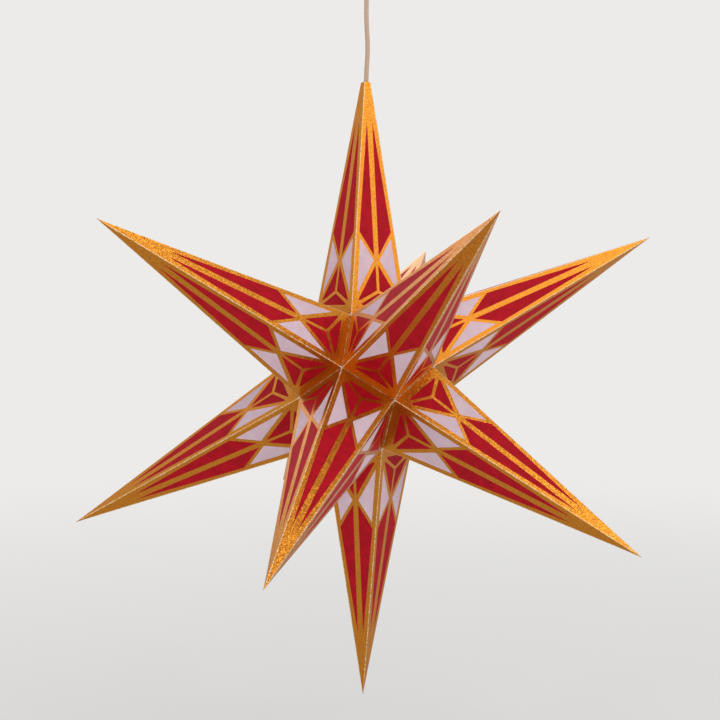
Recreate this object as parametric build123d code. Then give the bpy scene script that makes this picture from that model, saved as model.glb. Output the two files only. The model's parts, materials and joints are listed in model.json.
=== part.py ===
"""Folded-card star pendant: twelve five-sided spikes on a hollow core, hung by its lamp cable.

The frame is the ceiling: the origin lies on the ceiling rose's back face, +Z is up and the star
hangs below it. -Y is the front. Every length is in millimetres.

The star is regular. Each spike is one folded card: five long panels, a glue flap inside one
ridge, and five short flaps that turn in towards the star's centre. The flaps of neighbouring
spikes lie against each other in the plane between them, held by split-pin paper fasteners.
"""

import os
from math import atan, atan2, cos, degrees, pi, radians, sin, sqrt, tan

from build123d import *

# ---------------------------------------------------------------- driving dimensions
# star
star_diameter = 700.0  # from tip to opposite tip
base_edge = 63.0  # one side of a spike's five-sided base
card = 0.5  # thickness of the card
seam_gap = 0.1  # between the flaps of two neighbouring spikes
flap_depth = 12.0  # how far a base flap reaches in from its crease
flap_corner = 1.0  # card left whole between a corner and its notch
notch_angle = 50.0  # degrees between two flaps' cut edges
glue_flap_width = 9.0  # the inner strip that closes each spike along one ridge
glue_flap_clearance = 3.0  # from the cord stop, which that strip stops short of
tip_cut = 30.0  # what is cut off the top spike's tip to let the cable out
access_open_gap = 0.06  # between the access spike and its crease

# split-pin paper fasteners, two on each fastened seam
pins_per_seam = 2
pin_spacing = 28.0
pin_depth = 6.5  # from the crease to the middle of the pin
pin_head_radius = 4.0
pin_head_height = 1.3
pin_leg_length = 9.0
pin_leg_width = 3.4
pin_leg_thickness = 0.45
pin_slack = 0.25  # slit to pin, all round
pin_lift = 0.05  # head or leg to the card under it

# cable
cable_diameter = 5.0
core_diameter = 1.8  # one insulated conductor inside the cable

# where things hang
star_drop = 506.0  # ceiling to the star's centre
stop_below_cut = 6.0  # the cut tip to the cord stop's top
stop_height = 22.0
stop_fit = 0.15  # cord stop to the card round it
cord_bore_fit = 0.1  # cable to a hole that grips it
swivel_gap = 0.2  # the hanging cable to the star's own cable, which turns under it

# ceiling rose
rose_radius = 40.0
rose_plate = 3.0
rose_rim_height = 8.0
rose_rim_wall = 2.0
rose_hole_spacing = 60.0
rose_hole_radius = 2.5
supply_hole_radius = 7.0
supply_hole_offset = 22.0
cup_depth = 46.0
cup_wall = 2.0
cup_fit = 0.4  # cup to the plate inside it
cup_ceiling_gap = 0.5
cup_corner_radius = 14.0

# cup's bush
bush_stem_radius = 5.0
bush_flange_radius = 8.0
bush_flange_height = 4.0
bush_barrel_radius = 6.0
bush_barrel_height = 8.0
bush_bore_fit = 0.3  # it slides along the cable
bush_hole_fit = 0.2
bush_past_nut = 2.0
nut_across_flats = 14.0
nut_height = 3.5
nut_fit = 0.05

# cord clamp in the rose
anchor_width = 18.0
anchor_thickness = 7.0
anchor_length = 27.0
clamp_gap = 2.0  # between the clamp bar and the anchor
clamp_bar_thickness = 4.0
clamp_bar_height = 8.0
clamp_bar_margin = 1.5  # from the anchor's lower end to the clamp bar
clamp_screw_spacing = 12.0
clamp_screw_end = 2.0  # anchor left past a clamp screw's tip
jacket_past_clamp = 2.5  # how far the cable's jacket runs on above the clamp bar

# terminal block
block_length = 14.0
block_side = 3.3  # block left outside each sleeve
block_height = 12.0
block_offset = 20.0
block_edge_radius = 1.2
pole_spacing = 9.0
core_fit = 0.4  # a conductor in its sleeve
sleeve_wall = 0.9
sleeve_inset = 1.0  # a sleeve's end inside the block's face
sleeve_fit = 0.05
terminal_screw_spacing = 7.0
fixing_screw_skin = 1.2  # plate left behind the tip of the block's screw

# small screws
small_screw_radius = 1.45
small_screw_hole_fit = 0.1
small_screw_free_fit = 0.2  # through a piece that the screw only passes
small_screw_head_radius = 2.8
small_screw_head_height = 1.8
screw_slot_width = 0.7
screw_slot_depth = 0.6
grub_tip_gap = 0.1  # a grub screw's tip to the cable

# bulb, hung so that its globe is centred in the star
bulb_radius = 22.5
bulb_glass_wall = 0.8
bulb_neck_length = 3.5  # from the globe's top to the screw cap
bulb_neck_overlap = 4.0  # glass inside the screw cap
bulb_neck_angle = 52.0  # elevation at which the globe turns into the neck
bulb_cap_radius = 6.4
bulb_cap_wall = 0.35
bulb_cap_length = 20.0
bulb_cap_shoulder = 1.4
bulb_thread_crest = 0.5
bulb_thread_pitch = 2.82
bulb_thread_turns = 5
bulb_insulator_height = 1.8
bulb_contact_radius = 2.4
bulb_contact_height = 1.0
bulb_seal = 0.05  # cemented joints between the bulb's pieces
filament_radius = 0.6
filament_length = 22.0
filament_circle_radius = 5.0
filament_count = 4
filament_drop = 5.0  # from the filaments' tops to the stem's foot
stem_radius = 2.2
stem_bottom_height = 5.0
stem_flare_height = 6.0
support_wire_radius = 0.35
wire_gap = 0.02

# lampholder
thread_fit = 0.25  # the bulb's thread to the threaded shell
shell_wall = 0.4
shell_mouth_inset = 5.0  # the shell's foot above the lampholder's mouth
holder_mouth_rise = 2.0  # the mouth above the foot of the bulb's cap
holder_mouth_clearance = 0.65  # round the threaded shell
holder_lip = 2.0
holder_seat_step = 1.1
holder_radius = 13.5
holder_wall = 1.9
holder_leaf_space = 1.2  # the bulb's contact to the contact block
holder_rim_height = 8.0  # body above the ledge
holder_cap_height = 22.0
holder_cap_shoulder = 13.0  # the cap's sloping top
holder_cable_grip = 7.6  # solid cap round the cable, below the neck
holder_spigot_wall = 1.2
holder_neck_radius = 6.0
holder_neck_height = 9.0
holder_fit = 0.15
contact_block_height = 5.5
leaf_width = 4.0
leaf_thickness = 0.4
leaf_press = 0.05
holder_terminal_spacing = 13.0

# ---------------------------------------------------------------- the star's geometry
SIDES = 5
HALF_TURN = pi / SIDES
golden = (1 + sqrt(5)) / 2
tip_radius = star_diameter / 2
base_inradius = base_edge / (2 * tan(HALF_TURN))
base_height = base_edge * golden**2 / (2 * sqrt(3 - golden))  # centre to a base's plane
seam_angle = atan2(base_inradius, base_height)  # a spike's axis to the plane between two spikes
panel_angle = atan2(base_inradius, tip_radius - base_height)  # a spike's axis to its panel
seam_radius = base_inradius / sin(seam_angle)  # centre to the middle of a seam
ring_latitude = atan(0.5)  # elevation of the upper ring of spikes
star_centre = Vector(0, 0, -star_drop)
stop_top = tip_radius - tip_cut - stop_below_cut  # the cord stop, above the star's centre
stop_bottom = stop_top - stop_height


def spike_direction(azimuth, latitude):
    """Unit vector of a spike. Azimuth 0 is the front, -Y, and turns towards +X."""
    a, e = radians(azimuth), latitude
    return Vector(sin(a) * cos(e), -cos(a) * cos(e), sin(e))


UP, DOWN = Vector(0, 0, 1), Vector(0, 0, -1)
SPIKES = {
    "top_spike": UP,
    "upper_front_right_spike": spike_direction(36, ring_latitude),
    "upper_right_spike": spike_direction(108, ring_latitude),
    "upper_back_spike": spike_direction(180, ring_latitude),
    "upper_left_spike": spike_direction(252, ring_latitude),
    "upper_front_left_spike": spike_direction(324, ring_latitude),
    "lower_front_spike": spike_direction(0, -ring_latitude),
    "lower_right_spike": spike_direction(72, -ring_latitude),
    "lower_back_right_spike": spike_direction(144, -ring_latitude),
    "lower_back_left_spike": spike_direction(216, -ring_latitude),
    "lower_left_spike": spike_direction(288, -ring_latitude),
    "bottom_spike": DOWN,
}
ACCESS = "upper_back_spike"
TOP = "top_spike"


def first_neighbour(name):
    """The spike that side 0 of a spike faces: the pole of its own half, or the access spike."""
    if name == TOP:
        return SPIKES[ACCESS]
    if name == "bottom_spike":
        return SPIKES["lower_front_spike"]
    return UP if SPIKES[name].Z > 0 else DOWN


def spike_plane(name):
    """Local frame of a spike: z along it, x towards the middle of its side 0."""
    z = SPIKES[name]
    n = first_neighbour(name)
    return Plane(origin=star_centre, x_dir=n - z * n.dot(z), z_dir=z)


# ---------------------------------------------------------------- solids from a few points
def polyhedron(faces):
    """A closed solid from flat faces, each a list of points."""
    return Solid(Shell([Face(Wire.make_polygon(f, close=True)) for f in faces]))


def five_ring(inradius, z):
    """Corners of a regular five-sided ring whose side 0 faces +x."""
    r = inradius / cos(HALF_TURN)
    return [
        Vector(r * cos((2 * k + 1) * HALF_TURN), r * sin((2 * k + 1) * HALF_TURN), z)
        for k in range(SIDES)
    ]


def five_sided(levels):
    """A solid stacked from (inradius, z) levels, from the top down. An inradius of 0 is a point."""
    rings = [[Vector(0, 0, z)] if r == 0 else five_ring(r, z) for r, z in levels]
    faces = []
    for upper, lower in zip(rings, rings[1:]):
        for k in range(SIDES):
            n = (k + 1) % SIDES
            if len(upper) == 1:
                faces.append([upper[0], lower[k], lower[n]])
            elif len(lower) == 1:
                faces.append([upper[k], lower[0], upper[n]])
            else:
                faces.append([upper[k], lower[k], lower[n], upper[n]])
    for end in (rings[0], rings[-1]):
        if len(end) > 1:
            faces.append(end)
    return polyhedron(faces)


def turned(points):
    """A solid of revolution about Z from (radius, z) points."""
    outline = Polyline(*[(r, 0, z) for r, z in points], close=True)
    return revolve(make_face(outline), Axis.Z, 360)


def rod(radius, start, end):
    """A cylinder from start to end."""
    start, end = Vector(*start), Vector(*end)
    along = end - start
    return Plane(origin=start, z_dir=along) * Cylinder(
        radius, along.length, align=(Align.CENTER, Align.CENTER, Align.MIN)
    )


def block(low, high):
    """A box between two corners."""
    size = [h - l for l, h in zip(low, high)]
    middle = [(h + l) / 2 for l, h in zip(low, high)]
    return Pos(*middle) * Box(*size)


def slotted_screw(length, radius=small_screw_radius, head=True):
    """A screw along +z from its tip at 0, with a slotted head above z = length."""
    top = length + (small_screw_head_height if head else 0)
    body = Pos(0, 0, length / 2) * Cylinder(radius, length)
    if head:
        body += Pos(0, 0, length + small_screw_head_height / 2) * Cylinder(
            small_screw_head_radius, small_screw_head_height
        )
    wide = 2 * small_screw_head_radius + 1
    return body - Pos(0, 0, top) * Box(wide, screw_slot_width, 2 * screw_slot_depth)


def placed(shape, origin, towards):
    """Moves a shape from the origin so that its +z points towards a direction."""
    return Plane(origin=Vector(*origin), z_dir=Vector(*towards)) * shape


# ---------------------------------------------------------------- spikes
def shell_levels(inset, depth):
    """(inradius, z) at the tip, the crease and a depth below it, all set in by inset."""
    off_seam = inset + seam_gap / 2
    tip = tip_radius - inset / sin(panel_angle)
    # the crease is where the panel's line meets the flap's line, both moved in
    a = tan(panel_angle)
    b = tan(seam_angle)
    z = (tip * a + off_seam / cos(seam_angle)) / (a + b)
    r = (tip - z) * a
    drop = depth * cos(seam_angle)
    return [(0, tip), (r, z), (r - drop * b, z - drop)]


def crease():
    """(inradius, z) of a spike's outer crease."""
    return shell_levels(0, 0)[1]


def side_turn(side):
    """Rotation that brings side 0 to a side."""
    return Rot(0, 0, degrees(2 * HALF_TURN) * side)


def glue_flap():
    """The strip glued inside side 0, along the ridge to side 1."""
    (_, tip), (r, z), _ = shell_levels(card, 0)
    foot = five_ring(r, z)[0]
    head = Vector(0, 0, tip)
    ridge = (foot - head).normalized()
    outward = Vector(cos(panel_angle), 0, sin(panel_angle))
    across = ridge.cross(outward).normalized()
    if across.dot(Vector(0, -1, 0)) < 0:
        across = across * -1
    start = head + ridge * (tip_radius - stop_bottom + glue_flap_clearance)
    end = foot - ridge * card
    slant = ridge * glue_flap_width
    outline = [
        start,
        start + slant + across * (glue_flap_width * 0.6),
        end - slant + across * glue_flap_width,
        end,
    ]
    back = [p - outward * card for p in outline]
    sides = [
        [outline[k], outline[(k + 1) % 4], back[(k + 1) % 4], back[k]] for k in range(4)
    ]
    return polyhedron([outline, back, *sides])


def notches():
    """Five wedges that part the base flaps at the corners."""
    r, z = crease()
    top = z - flap_corner
    bottom = z - flap_depth * cos(seam_angle) - card
    reach = (top - bottom) * tan(radians(notch_angle / 2))
    wedge = make_face(Polyline((0, top), (reach, bottom), (-reach, bottom), close=True))
    far = r / cos(HALF_TURN) + card
    cutter = Plane(origin=(far / 3, 0, 0), x_dir=(0, 1, 0), z_dir=(1, 0, 0)) * extrude(
        wedge, far
    )
    return [Rot(0, 0, degrees((2 * k + 1) * HALF_TURN)) * cutter for k in range(SIDES)]


def seam_local():
    """Frame on side 0's flap: origin at the middle of the crease, x in to the centre, z inwards
    off the flap's mating face."""
    r, z = crease()
    inwards = Vector(-sin(seam_angle), 0, -cos(seam_angle))
    off = Vector(-cos(seam_angle), 0, sin(seam_angle))
    return Plane(origin=(r, 0, z), x_dir=inwards, z_dir=off)


def pin_places():
    """How far each pin of a seam lies from the seam's middle."""
    return [pin_spacing * (k - (pins_per_seam - 1) / 2) for k in range(pins_per_seam)]


def pin_slits():
    """Slits through side 0's flap for its pins."""
    slit = Box(pin_leg_width + 2 * pin_slack, 2 * pin_leg_thickness + 2 * pin_slack, 8 * card)
    return [seam_local() * Pos(pin_depth, y, 0) * slit for y in pin_places()]


def below_crease():
    """What lies on the flap's side of side 0's crease: cutting it off leaves a spike whose panel
    ends in a mitre, and keeping it leaves the flap."""
    outer, inner = shell_levels(0, 0)[1], shell_levels(card, 0)[1]
    mitre = Vector(inner[0] - outer[0], 0, inner[1] - outer[1]).normalized()
    half = base_edge
    size = 3 * flap_depth
    at = Plane(origin=(outer[0], 0, outer[1]), x_dir=mitre, z_dir=(0, 1, 0))
    cutter = Pos(size / 2 - 2 * card, -size / 2, 0) * Box(size, size, 2 * half)
    return at * cutter


def spike_shell():
    """A closed-tip spike with all five flaps, in its local frame."""
    outer = five_sided(shell_levels(0, flap_depth))
    inner = five_sided(shell_levels(card, 2 * flap_depth))
    shell = outer - inner
    for cutter in notches():
        shell -= cutter
    return shell + glue_flap()


def with_slits(shell, sides):
    for side in sides:
        for slit in pin_slits():
            shell -= side_turn(side) * slit
    return shell


def neighbour_side(name, other):
    """Which side of a spike faces another spike, or None if they don't meet."""
    plane = spike_plane(name)
    towards = SPIKES[other]
    if abs(towards.dot(SPIKES[name]) - sin(ring_latitude)) > 1e-3:
        return None
    x, y = towards.dot(plane.x_dir), towards.dot(plane.y_dir)
    return round(atan2(y, x) / (2 * HALF_TURN)) % SIDES


def seams():
    """Each pair of neighbouring spikes, once."""
    names = list(SPIKES)
    return [
        (a, b)
        for i, a in enumerate(names)
        for b in names[i + 1 :]
        if neighbour_side(a, b) is not None
    ]


def fastened(a, b):
    """Pins hold every seam but four of the access spike's, whose flaps are only tucked in."""
    return ACCESS not in (a, b) or TOP in (a, b)


def fastened_sides(name):
    """The sides of a spike whose flaps carry pins."""
    return [
        neighbour_side(name, b if name == a else a)
        for a, b in seams()
        if name in (a, b) and fastened(a, b)
    ]


def paper_pin():
    """A split pin: z is out of its head, legs bent apart along x, origin between the two flaps."""
    stack = card + seam_gap / 2 + pin_lift
    dome_radius = (pin_head_radius**2 + pin_head_height**2) / (2 * pin_head_height)
    dome = Pos(0, 0, stack + pin_head_height - dome_radius) * Sphere(dome_radius)
    dome &= Pos(0, 0, stack + pin_head_height) * Cylinder(
        2 * pin_head_radius, 2 * pin_head_height
    )
    shank = block(
        (-pin_leg_thickness, -pin_leg_width / 2, -stack),
        (pin_leg_thickness, pin_leg_width / 2, stack + pin_head_height / 2),
    )
    legs = block(
        (-pin_leg_length, -pin_leg_width / 2, -stack - pin_leg_thickness),
        (pin_leg_length, pin_leg_width / 2, -stack),
    )
    return dome + shank + legs


def seam_pins():
    pin = paper_pin()
    made = []
    for a, b in seams():
        if not fastened(a, b):
            continue
        middle = (SPIKES[a] + SPIKES[b]).normalized()
        towards_a = (SPIKES[a] - SPIKES[b]).normalized()
        along = SPIKES[a].cross(SPIKES[b]).normalized()
        for y in pin_places():
            origin = star_centre + middle * (seam_radius - pin_depth) + along * y
            made.append(Plane(origin=origin, x_dir=along, z_dir=towards_a) * pin)
    return made


def spikes():
    """Every spike in place, and the hinge flap that stays behind when the access spike opens."""
    shell = spike_shell()
    made = {}
    for name in SPIKES:
        spike = with_slits(shell, fastened_sides(name))
        if name == TOP:
            spike -= Pos(0, 0, tip_radius) * Box(tip_cut, tip_cut, 2 * tip_cut)
        if name == ACCESS:
            hinge_cutter = below_crease()
            made["hinge_flap"] = spike_plane(name) * largest(spike & hinge_cutter)
            spike = largest(spike - Pos(0, 0, access_open_gap) * hinge_cutter)
        made[name] = spike_plane(name) * spike
    return made


def largest(shape):
    """The biggest solid of a shape."""
    return max(shape.solids(), key=lambda s: s.volume)


# ---------------------------------------------------------------- cable and cord stop
cable_radius = cable_diameter / 2
core_radius = core_diameter / 2
core_spread = core_diameter * 0.55  # the two cores' offset where they leave the jacket
cord_hole_radius = cable_radius + cord_bore_fit
stop_screw_height = stop_bottom + stop_height * 0.4


def above_centre(z):
    """Height below the ceiling of a height above the star's centre."""
    return z - star_drop


def in_star(shape):
    """Moves a shape made round the star's centre to where the star hangs."""
    return Pos(star_centre) * shape


def stop_levels():
    """The cord stop's two levels, fitted inside the top spike's five panels."""
    tip = shell_levels(card, 0)[0][1]
    return [
        ((tip - z) * tan(panel_angle) - stop_fit, z) for z in (stop_top, stop_bottom)
    ]


def grub_hole(outer, z):
    """A hole along +x from the axis past an outer radius, for a grub screw."""
    return rod(small_screw_radius + small_screw_hole_fit, (0, 0, z), (outer + 1, 0, z))


def grub_screw(outer, z):
    """A grub screw along +x from an outer radius until its tip all but touches the cable."""
    tip = cable_radius + grub_tip_gap
    return placed(slotted_screw(outer - tip, head=False), (tip, 0, z), (1, 0, 0))


def cord_stop():
    stop = five_sided(stop_levels())
    stop -= rod(cord_hole_radius, (0, 0, stop_bottom - 1), (0, 0, stop_top + 1))
    return spike_plane(TOP) * (stop - grub_hole(base_inradius, stop_screw_height))


def cord_stop_screw():
    """Sits just inside the stop's slanting side."""
    (top_r, top_z), (low_r, low_z) = stop_levels()
    share = (top_z - stop_screw_height) / (top_z - low_z)
    outer = top_r + (low_r - top_r) * share - small_screw_radius * tan(panel_angle) - stop_fit
    return spike_plane(TOP) * grub_screw(outer, stop_screw_height)


def cable_route():
    """The hanging cable's points, from the cord clamp to the star. It hangs straight from the
    rose, then bows a little to the right before it enters the star's tip."""
    tip = above_centre(stop_top)
    return [
        (0.0, 0.0, -jacket_end_depth),
        (0.0, 0.0, tip + 70.0),
        (1.9, 0.5, tip + 43.0),
        (0.25, 0.05, tip + 18.0),
        (0.0, 0.0, tip + swivel_gap),
    ]


def tube(points, diameter, name, share=0.45):
    """A cord along straight runs, joined by arcs as large as the runs allow."""
    points = [Vector(*p) for p in points]
    radii = []
    for before, at, after in zip(points, points[1:], points[2:]):
        turn = radians((at - before).get_angle(after - at))
        shorter = min((at - before).length, (after - at).length)
        radii.append(share * shorter / tan(turn / 2))
    path = FilletPolyline(*points, radius=radii)
    made = sweep(Plane(origin=path @ 0, z_dir=path % 0) * Circle(diameter / 2), path)
    filled = made.volume / (pi * diameter**2 / 4 * path.length)
    print(
        f"{name}: {path.length:.1f} mm long, radii {[round(r, 1) for r in radii]} mm,"
        f" volume over section times length {filled:.4f}"
    )
    return made


def lamp_cable():
    """The stretch inside the star, which the lamp's weight pulls straight."""
    return in_star(rod(cable_radius, (0, 0, cable_end_height), (0, 0, stop_top)))


# ---------------------------------------------------------------- ceiling rose
rose_bottom = -rose_plate
anchor_bottom = rose_bottom - anchor_length
anchor_face = clamp_gap / 2
clamp_z = anchor_bottom + clamp_bar_margin + clamp_bar_height / 2
jacket_end_depth = -(clamp_z + clamp_bar_height / 2 + jacket_past_clamp)
cup_inner_radius = rose_radius + cup_fit
cup_outer_radius = cup_inner_radius + cup_wall
bush_bore_radius = cable_radius + bush_bore_fit
bush_top = -cup_depth + cup_wall + nut_height + bush_past_nut
bush_flange_z = -cup_depth - bush_flange_height
bush_bottom = bush_flange_z - bush_barrel_height
bush_screw_z = bush_bottom + bush_barrel_height / 2
block_width = pole_spacing + 2 * (core_radius + core_fit + sleeve_wall + block_side)
block_middle = Vector(0, -block_offset, rose_bottom - block_height / 2)
block_bottom = rose_bottom - block_height
sleeve_bore_radius = core_radius + core_fit
sleeve_radius = sleeve_bore_radius + sleeve_wall
screw_hole = small_screw_radius + small_screw_hole_fit
screw_free_hole = small_screw_radius + small_screw_free_fit


def cord_groove():
    return rod(cord_hole_radius, (0, 0, 2 * anchor_bottom), (0, 0, rose_bottom))


def either_side(spacing):
    return [-spacing / 2, spacing / 2]


def terminal_rows():
    return [block_middle.Y + y for y in either_side(terminal_screw_spacing)]


def rose_base():
    """The plate, its rim, and the anchor that the cord clamp closes against."""
    plate = Pos(0, 0, rose_bottom / 2) * Cylinder(rose_radius, rose_plate)
    rim = Cylinder(rose_radius, rose_rim_height)
    rim -= Cylinder(rose_radius - rose_rim_wall, rose_rim_height + 1)
    far = anchor_face + anchor_thickness
    anchor = block(
        (-anchor_width / 2, anchor_face, anchor_bottom), (anchor_width / 2, far, rose_bottom)
    )
    base = plate + Pos(0, 0, rose_bottom - rose_rim_height / 2) * rim + (anchor - cord_groove())
    for x in either_side(rose_hole_spacing):
        base -= rod(rose_hole_radius, (x, 0, rose_bottom - 1), (x, 0, 1))
    y = supply_hole_offset
    base -= rod(supply_hole_radius, (0, y, rose_bottom - 1), (0, y, 1))
    for x in either_side(clamp_screw_spacing):
        base -= rod(screw_hole, (x, 0, clamp_z), (x, far - clamp_screw_end / 2, clamp_z))
    x, y, _ = block_middle
    return base - rod(screw_hole, (x, y, rose_bottom - 1), (x, y, -fixing_screw_skin / 2))


def cord_clamp_bar():
    near = -anchor_face - clamp_bar_thickness
    half = clamp_bar_height / 2
    bar = block(
        (-anchor_width / 2, near, clamp_z - half), (anchor_width / 2, -anchor_face, clamp_z + half)
    )
    bar -= cord_groove()
    for x in either_side(clamp_screw_spacing):
        bar -= rod(screw_free_hole, (x, near - 1, clamp_z), (x, 0, clamp_z))
    return bar


def cord_clamp_screws():
    tip = anchor_face + anchor_thickness - clamp_screw_end
    screw = slotted_screw(tip + anchor_face + clamp_bar_thickness)
    return [
        placed(screw, (x, tip, clamp_z), (0, -1, 0)) for x in either_side(clamp_screw_spacing)
    ]


def terminal_block():
    x0, y0, z0 = block_middle
    made = Box(block_width, block_length, block_height)
    made = Pos(block_middle) * fillet(made.edges().filter_by(Axis.Y), block_edge_radius)
    half = block_length / 2
    for x in either_side(pole_spacing):
        made -= rod(sleeve_radius + sleeve_fit, (x, y0 - half, z0), (x, y0 + half, z0))
        for y in terminal_rows():
            made -= rod(screw_hole, (x, y, block_bottom - 1), (x, y, z0))
    return made - rod(screw_free_hole, (x0, y0, block_bottom - 1), (x0, y0, rose_bottom + 1))


def terminal_sleeves():
    _, y0, z0 = block_middle
    low, high = y0 - block_length / 2 + sleeve_inset, y0 + block_length / 2 - sleeve_inset
    made = []
    for x in either_side(pole_spacing):
        sleeve = rod(sleeve_radius, (x, low, z0), (x, high, z0))
        sleeve -= rod(sleeve_bore_radius, (x, low - 1, z0), (x, high + 1, z0))
        for y in terminal_rows():
            sleeve -= rod(screw_hole, (x, y, block_bottom), (x, y, z0))
        made.append(sleeve)
    return made


def terminal_screws():
    tip = block_middle.Z - core_radius - grub_tip_gap
    screw = slotted_screw(tip - block_bottom, head=False)
    return [
        placed(screw, (x, y, tip), (0, 0, -1))
        for x in either_side(pole_spacing)
        for y in terminal_rows()
    ]


def terminal_fixing_screw():
    x, y, _ = block_middle
    tip = -fixing_screw_skin
    return placed(slotted_screw(tip - block_bottom), (x, y, tip), (0, 0, -1))


def rose_core(side):
    """One conductor, from the jacket's end through a quarter turn into its terminal."""
    foot, level = -jacket_end_depth, block_middle.Z
    across = pole_spacing / 2 - core_spread
    entry = block_middle.Y + block_length / 2
    points = [
        (0, 0, foot),
        (0, 0, foot + 3.8),
        (0.14 * across, -1.9, foot + 7.1),
        (0.49 * across, -5.2, level - 0.05),
        (0.89 * across, entry + 3.8, level),
        (across, entry - terminal_screw_spacing, level),
    ]
    name = "live_core" if side > 0 else "neutral_core"
    return tube([(side * (core_spread + x), y, z) for x, y, z in points], core_diameter, name)


def rose_cup():
    """A round cup, open to the ceiling, with a hole for the bush."""
    rim, floor, corner = -cup_ceiling_gap, -cup_depth, cup_corner_radius
    hole = bush_stem_radius + bush_hole_fit

    def side(radius, bottom, bend):
        """Half of one face of the cup, from its rim to its hole."""
        bend_x, bend_z = radius - bend, bottom + bend
        middle = (bend_x + bend * cos(pi / 4), 0, bend_z - bend * sin(pi / 4))
        return [
            Line((radius, 0, rim), (radius, 0, bend_z)),
            ThreePointArc((radius, 0, bend_z), middle, (bend_x, 0, bottom)),
            Line((bend_x, 0, bottom), (hole, 0, bottom)),
        ]

    outer = side(cup_outer_radius, floor, corner)
    inner = side(cup_inner_radius, floor + cup_wall, corner - cup_wall)
    ends = [Line(outer[0] @ 0, inner[0] @ 0), Line(outer[-1] @ 1, inner[-1] @ 1)]
    return revolve(make_face(Wire([*outer, *inner, *ends])), Axis.Z, 360)


def cup_bush():
    """The threaded bush that the cable slides through until its grub screw is tightened."""
    r = bush_bore_radius
    made = turned(
        [
            (r, bush_top),
            (bush_stem_radius, bush_top),
            (bush_stem_radius, -cup_depth),
            (bush_flange_radius, -cup_depth),
            (bush_flange_radius, bush_flange_z),
            (bush_barrel_radius, bush_flange_z),
            (bush_barrel_radius, bush_bottom),
            (r, bush_bottom),
        ]
    )
    return made - grub_hole(bush_barrel_radius, bush_screw_z)


def cup_nut():
    nut = extrude(RegularPolygon(nut_across_flats / 2, 6, major_radius=False), nut_height)
    nut -= Cylinder(bush_stem_radius + nut_fit, 3 * nut_height)
    return Pos(0, 0, -cup_depth + cup_wall) * nut


# ---------------------------------------------------------------- bulb
cap_bottom = bulb_radius + bulb_neck_length
cap_top = cap_bottom + bulb_cap_length
cap_shoulder_radius = bulb_cap_radius - bulb_cap_shoulder
insulator_top = cap_top + bulb_insulator_height
contact_top = insulator_top + bulb_contact_height
neck_radius = bulb_cap_radius - bulb_cap_wall - bulb_seal
neck_top = cap_bottom + bulb_neck_overlap
filament_top = stem_bottom_height + filament_drop
filament_bottom = filament_top - filament_length


def bulb_cap():
    """The screw cap, with a rib for each turn of its thread."""
    r, shoulder = bulb_cap_radius, cap_top - bulb_cap_shoulder
    outline = [(r - bulb_cap_wall, cap_bottom), (r, cap_bottom)]
    foot = shoulder - bulb_thread_turns * bulb_thread_pitch
    for turn in range(bulb_thread_turns):
        z = foot + turn * bulb_thread_pitch
        outline += [
            (r, z),
            (r + bulb_thread_crest, z + bulb_thread_pitch * 0.35),
            (r + bulb_thread_crest, z + bulb_thread_pitch * 0.65),
        ]
    outline += [
        (r, shoulder),
        (cap_shoulder_radius, cap_top),
        (cap_shoulder_radius - bulb_cap_wall, cap_top),
        (r - bulb_cap_wall, shoulder),
    ]
    return in_star(turned(outline))


def bulb_insulator():
    foot = cap_top + bulb_seal
    return in_star(
        turned(
            [
                (0, foot),
                (cap_shoulder_radius, foot),
                (bulb_contact_radius + bulb_cap_wall, insulator_top),
                (0, insulator_top),
            ]
        )
    )


def bulb_contact():
    """The solder tip, domed towards the lampholder's leaf."""
    rounded = bulb_contact_height / 3
    return in_star(
        turned(
            [
                (0, insulator_top + bulb_seal),
                (bulb_contact_radius, insulator_top + bulb_seal),
                (bulb_contact_radius, contact_top - rounded),
                (bulb_contact_radius - 2 * rounded, contact_top),
                (0, contact_top),
            ]
        )
    )


def bulb_glass():
    """The globe and its neck, as one blown wall."""
    meet = radians(bulb_neck_angle)

    def side(wall):
        r, neck = bulb_radius - wall, neck_radius - wall
        knee = Vector(r * cos(meet), 0, r * sin(meet))
        foot = (neck, 0, cap_bottom)
        return [
            ThreePointArc((0, 0, -r), (r, 0, 0), knee),
            TangentArc(knee, foot, tangent=(-sin(meet), 0, cos(meet))),
            Line(foot, (neck, 0, neck_top)),
        ]

    outer, inner = side(0), side(bulb_glass_wall)
    ends = [Line(outer[-1] @ 1, inner[-1] @ 1), Line(outer[0] @ 0, inner[0] @ 0)]
    return in_star(revolve(make_face(Wire([*outer, *inner, *ends])), Axis.Z, 360))


def bulb_stem():
    """The glass stem inside the globe, flared where it seals to the neck."""
    flare = neck_radius - bulb_glass_wall - bulb_seal
    return in_star(
        turned(
            [
                (0, stem_bottom_height),
                (stem_radius, stem_bottom_height),
                (stem_radius, neck_top - stem_flare_height),
                (flare, neck_top),
                (0, neck_top),
            ]
        )
    )


def filament_places():
    r, step = filament_circle_radius, 2 * pi / filament_count
    return [Vector(r * cos(k * step), r * sin(k * step), 0) for k in range(filament_count)]


def bulb_filaments():
    low, high = Vector(0, 0, filament_bottom), Vector(0, 0, filament_top)
    return [in_star(rod(filament_radius, p + low, p + high)) for p in filament_places()]


def bulb_support_wires():
    """A centre wire whose spider stands under the filaments, and an arm over each of them."""
    w = support_wire_radius
    low = Vector(0, 0, filament_bottom - w - wire_gap)
    high = Vector(0, 0, filament_top + w + wire_gap)
    spider = rod(w, low, (0, 0, stem_bottom_height - wire_gap))
    arms = []
    for p in filament_places():
        spider += rod(w, low, low + p)
        arms.append(rod(w, high + p.normalized() * (stem_radius + wire_gap), high + p))
    return [in_star(spider), *[in_star(arm) for arm in arms]]


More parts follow.
